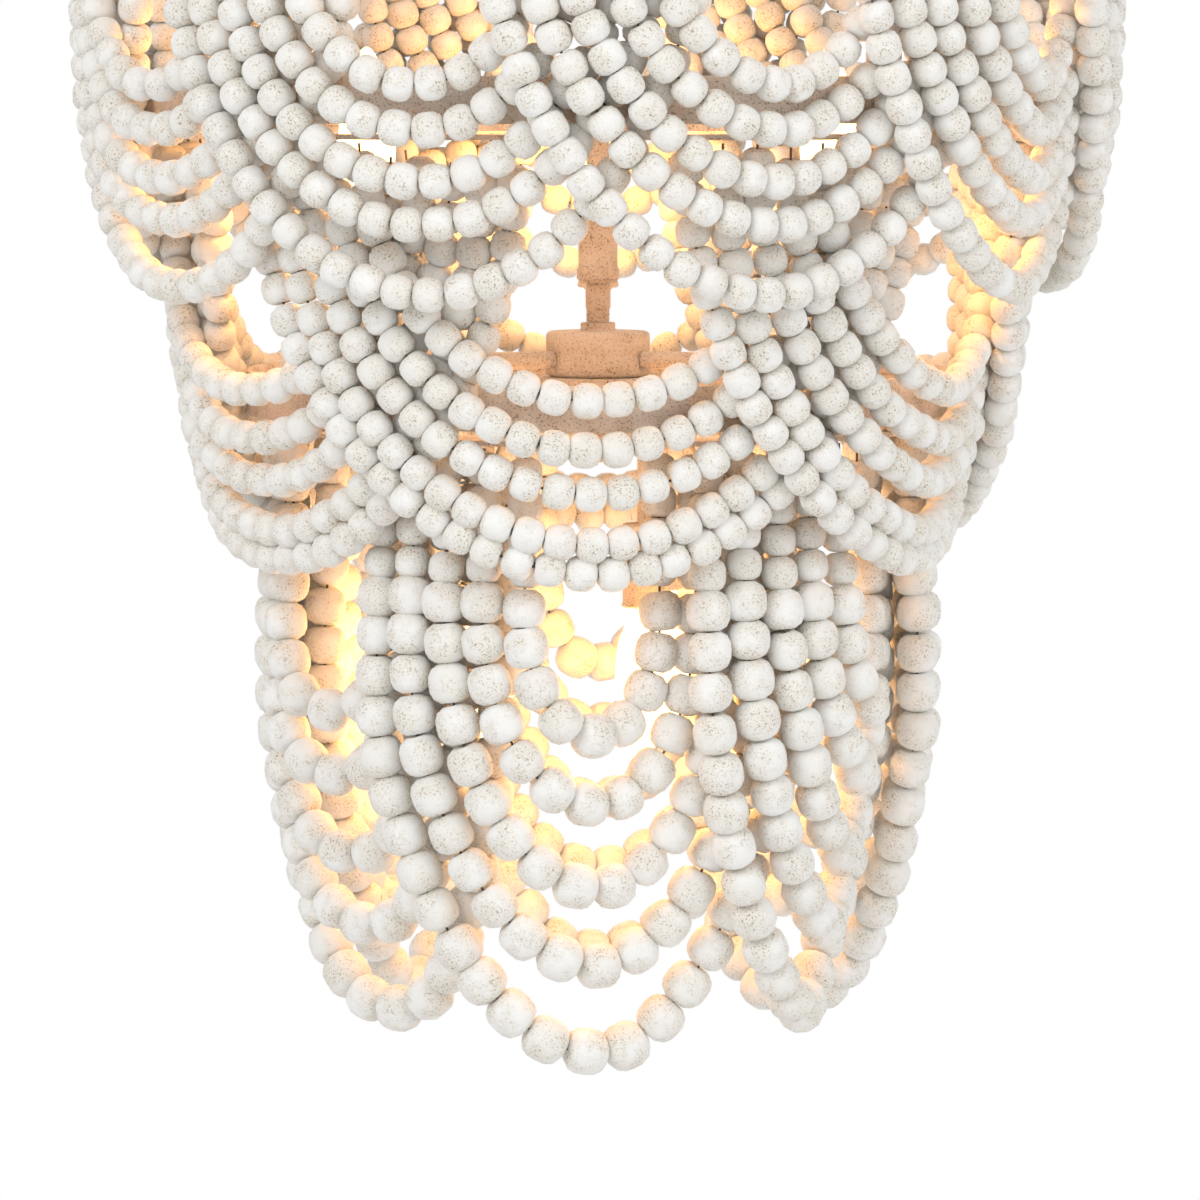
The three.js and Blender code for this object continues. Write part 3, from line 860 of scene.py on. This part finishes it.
@dataclass
class Lamps:
    """The three upper candle lamps and the three lower ones."""

    finishes: Finishes
    arm_angles: tuple = (60, 180, 300)
    drop_angles: tuple = (24, 144, 264)
    reach: float = 150.0
    drop_reach: float = 64.0
    bulb_radius: float = 16.4
    sleeve_radius: float = 12.5
    light_heights: tuple = (-25, -335)
    light_watts: tuple = (0.76, 0.50)
    LIGHT_SHIFT: ClassVar[float] = 27
    LIGHT_COLOUR: ClassVar[tuple] = (1.0, 0.46, 0.12)

    def bulb(self, name: str, low: float, length: float, down: bool) -> bpy.types.Object:
        """Makes a candle bulb.

        Args:
            name: The object's name.
            low: Height of its foot.
            length: Its length.
            down: Whether it points down.

        Returns:
            The object.
        """
        shares = [(0.35, 0.0), (0.56, 0.005), (0.58, 0.06), (0.62, 0.1), (0.80, 0.17), (0.93, 0.26), (0.995, 0.38),
                  (0.98, 0.48), (0.90, 0.60), (0.76, 0.73), (0.58, 0.84), (0.38, 0.93), (0.18, 0.985), (0.05, 1.0)]
        sign = -1 if down else 1
        return Shop.turn(name, [(r * self.bulb_radius, low + sign * s * length) for r, s in shares], 32)

    def sleeve(self, name: str, low: float, high: float) -> bpy.types.Object:
        """Makes a candle sleeve with a rolled lip at each end.

        Args:
            name: The object's name.
            low: Its lower end.
            high: Its upper end.

        Returns:
            The object.
        """
        r = self.sleeve_radius
        return Shop.turn(name, [(3, low), (r - 1.2, low), (r - 0.2, low + 0.7), (r, low + 1.6), (r - 0.6, low + 3),
                                (r - 0.6, high - 3), (r, high - 1.6), (r - 0.2, high - 0.7), (r - 1.2, high),
                                (r - 2.6, high), (r - 3, high - 1), (3, high - 1)], 48)

    def build(self) -> None:
        """Builds one lamp of each kind and copies it round."""
        wash, glow = self.finishes.frame, self.finishes.bulb
        arm = Shop.wire("arm", [[(0, -y, -149) for y in (30.4, 80, 140, 203.5)]], 5.0, sides=4)
        riser = Shop.wire("riser", [[(0, -self.reach, z) for z in (-149, -130, -112.5)]], 5.0, sides=4)
        cuff = Shop.turn("cuff", [(5, -126), (7.2, -126), (7.6, -125), (7.6, -114.6), (9, -113.2), (5, -113.2)], 32)
        sleeve = self.sleeve("sleeve", -113, -64.5)
        bulb = self.bulb("bulb", -64.1, 93.8, False)
        for obj in (cuff, sleeve, bulb):
            Shop.place(obj, 0, self.reach)
        whole = Shop.weld([arm, riser, cuff, sleeve], "arm")
        for i, angle in enumerate(self.arm_angles):
            Shop.dress(Shop.copy(whole, f"candle_arm_{i + 1}", angle), wash, Slot.FRAME, BODY, f"lamp_arm_{i + 1}")
            Shop.dress(Shop.copy(bulb, f"candle_bulb_{i + 1}", angle), glow, Slot.BULB, BODY, f"bulb_{i + 1}")
            self.light(f"bulb_light_{i + 1}", polar(self.reach, angle, self.light_heights[0]), self.light_watts[0])
        for obj in (whole, bulb):
            bpy.data.objects.remove(obj)
        self.build_drops()

    def build_drops(self) -> None:
        """Builds the lower lamps on their bent tubes."""
        wash, glow = self.finishes.frame, self.finishes.bulb
        bend = 14.0
        path = [(0, -34.4, -163), (0, -(self.drop_reach - bend), -163)]
        for a in np.linspace(0.15, math.pi / 2, 8):
            path.append((0, -(self.drop_reach - bend + bend * math.sin(a)), -163 - bend + bend * math.cos(a)))
        path.append((0, -self.drop_reach, -242))
        tube = Shop.wire("drop_tube", [path], 3.7, sides=4)
        sleeve = self.sleeve("drop_sleeve", -288, -240)
        bulb = self.bulb("drop_bulb", -288.4, 93.8, True)
        for obj in (sleeve, bulb):
            Shop.place(obj, 0, self.drop_reach)
        whole = Shop.weld([tube, sleeve], "drop")
        for i, angle in enumerate(self.drop_angles):
            Shop.dress(Shop.copy(whole, f"drop_stem_{i + 1}", angle), wash, Slot.FRAME, BODY, f"drop_lamp_{i + 1}")
            Shop.dress(Shop.copy(bulb, f"drop_glass_{i + 1}", angle), glow, Slot.BULB, BODY, f"drop_bulb_{i + 1}")
            self.light(f"drop_light_{i + 1}", polar(self.drop_reach, angle, self.light_heights[1]), self.light_watts[1])
        for obj in (whole, bulb):
            bpy.data.objects.remove(obj)

    @staticmethod
    def light(name: str, at: np.ndarray, watts: float) -> None:
        """Puts a small warm lamp outside a bulb.

        Args:
            name: The lamp's name.
            at: The bulb's middle, in mm.
            watts: The lamp's power.
        """
        data = bpy.data.lights.new(name, "POINT")
        data.energy = watts
        data.color = Lamps.LIGHT_COLOUR
        data.shadow_soft_size = 0.02
        obj = bpy.data.objects.new(name, data)
        share = 1 + Lamps.LIGHT_SHIFT / math.hypot(at[0], at[1])
        obj.location = (at[0] * share * MM, at[1] * share * MM, height(at[2]))
        bpy.context.collection.objects.link(obj)
        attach(obj, BODY)


@dataclass
class Studio:
    """Camera, lights, world and floor."""

    distance: float = 3.09
    eye: float = 0.0
    tilt: float = 5.35
    floor: float = -1.62
    side: float = 0.0012
    lens: float = 160.2
    world_strength: float = 0.66

    def build(self) -> None:
        """Sets up the view and the light."""
        scene = bpy.context.scene
        scene.view_settings.view_transform = "Standard"
        camera = bpy.data.cameras.new("camera")
        camera.lens = self.lens
        camera.sensor_width = 36
        camera.clip_end = 50
        obj = bpy.data.objects.new("camera", camera)
        obj.location = (self.side, -self.distance, height(self.eye))
        obj.rotation_euler = (math.radians(90 - self.tilt), 0, 0)
        bpy.context.collection.objects.link(obj)
        scene.camera = obj
        self.world()
        for name, place, size, power in (
            ("key", (-1.6, -2.3, 0.9), 1.8, 34.0),
            ("fill", (2.0, -1.9, 0.0), 2.0, 20.0),
            ("back", (0.3, 2.4, 0.5), 2.2, 20.0),
            ("low", (0.0, -1.2, -2.2), 1.5, 7.0),
        ):
            self.area(name, place, size, power)
        self.lay_floor()

    def area(self, name: str, place: tuple, size: float, power: float) -> None:
        """Adds a soft square lamp that faces the fixture.

        Args:
            name: The lamp's name.
            place: Where it stands, in metres.
            size: Its width.
            power: Its power in watts.
        """
        data = bpy.data.lights.new(name, "AREA")
        data.energy = power
        data.size = size
        obj = bpy.data.objects.new(name, data)
        obj.location = place
        obj.rotation_euler = (Vector((0, 0, -0.5)) - Vector(place)).to_track_quat("-Z", "Y").to_euler()
        bpy.context.collection.objects.link(obj)

    def seen_white(self, nodes: object, links: object) -> bpy.types.NodeSocket:
        """Gives 1 for rays that see the background directly or in gloss or glass.

        Args:
            nodes: The node tree's nodes.
            links: The node tree's links.

        Returns:
            The socket that gives it.
        """
        path = nodes.new("ShaderNodeLightPath")
        first, second = nodes.new("ShaderNodeMath"), nodes.new("ShaderNodeMath")
        for node in (first, second):
            node.operation = "MAXIMUM"
        links.new(path.outputs["Is Camera Ray"], first.inputs[0])
        links.new(path.outputs["Is Glossy Ray"], first.inputs[1])
        links.new(first.outputs[0], second.inputs[0])
        links.new(path.outputs["Is Transmission Ray"], second.inputs[1])
        return second.outputs[0]

    def world(self) -> None:
        """Makes a white world that lights the object softly."""
        world = bpy.data.worlds.new("studio")
        bpy.context.scene.world = world
        world.use_nodes = True
        nodes, links = world.node_tree.nodes, world.node_tree.links
        soft = nodes["Background"]
        soft.inputs["Color"].default_value = (1, 1, 1, 1)
        soft.inputs["Strength"].default_value = self.world_strength
        white = nodes.new("ShaderNodeBackground")
        white.inputs["Color"].default_value = (1, 1, 1, 1)
        white.inputs["Strength"].default_value = 1.0
        mix = nodes.new("ShaderNodeMixShader")
        links.new(self.seen_white(nodes, links), mix.inputs["Fac"])
        links.new(soft.outputs[0], mix.inputs[1])
        links.new(white.outputs[0], mix.inputs[2])
        links.new(mix.outputs[0], nodes["World Output"].inputs["Surface"])

    def lay_floor(self) -> None:
        """Lays a plain pale floor below the fixture."""
        Shop.clear()
        bpy.ops.mesh.primitive_plane_add(size=30, location=(0, 0, self.floor))
        floor = bpy.context.object
        floor.name = "floor"
        mat = bpy.data.materials.new("pale_floor")
        mat.use_nodes = True
        nodes, links = mat.node_tree.nodes, mat.node_tree.links
        shader = nodes["Principled BSDF"]
        shader.inputs["Base Color"].default_value = (0.86, 0.86, 0.86, 1)
        shader.inputs["Roughness"].default_value = 0.9
        white = nodes.new("ShaderNodeEmission")
        white.inputs["Strength"].default_value = 1.0
        mix = nodes.new("ShaderNodeMixShader")
        links.new(self.seen_white(nodes, links), mix.inputs["Fac"])
        links.new(shader.outputs[0], mix.inputs[1])
        links.new(white.outputs[0], mix.inputs[2])
        links.new(mix.outputs[0], nodes["Material Output"].inputs["Surface"])
        floor.data.materials.append(mat)


def main() -> None:
    """Builds the fixture piece by piece."""
    logging.basicConfig(level=logging.INFO, format="%(message)s")
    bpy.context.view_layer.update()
    Studio().build()
    finishes = Finishes()
    for part in (Frame(finishes), Hanging(finishes), Lamps(finishes)):
        part.build()
    Strands(finishes).build(Stringer())


if __name__ == "__main__":
    main()
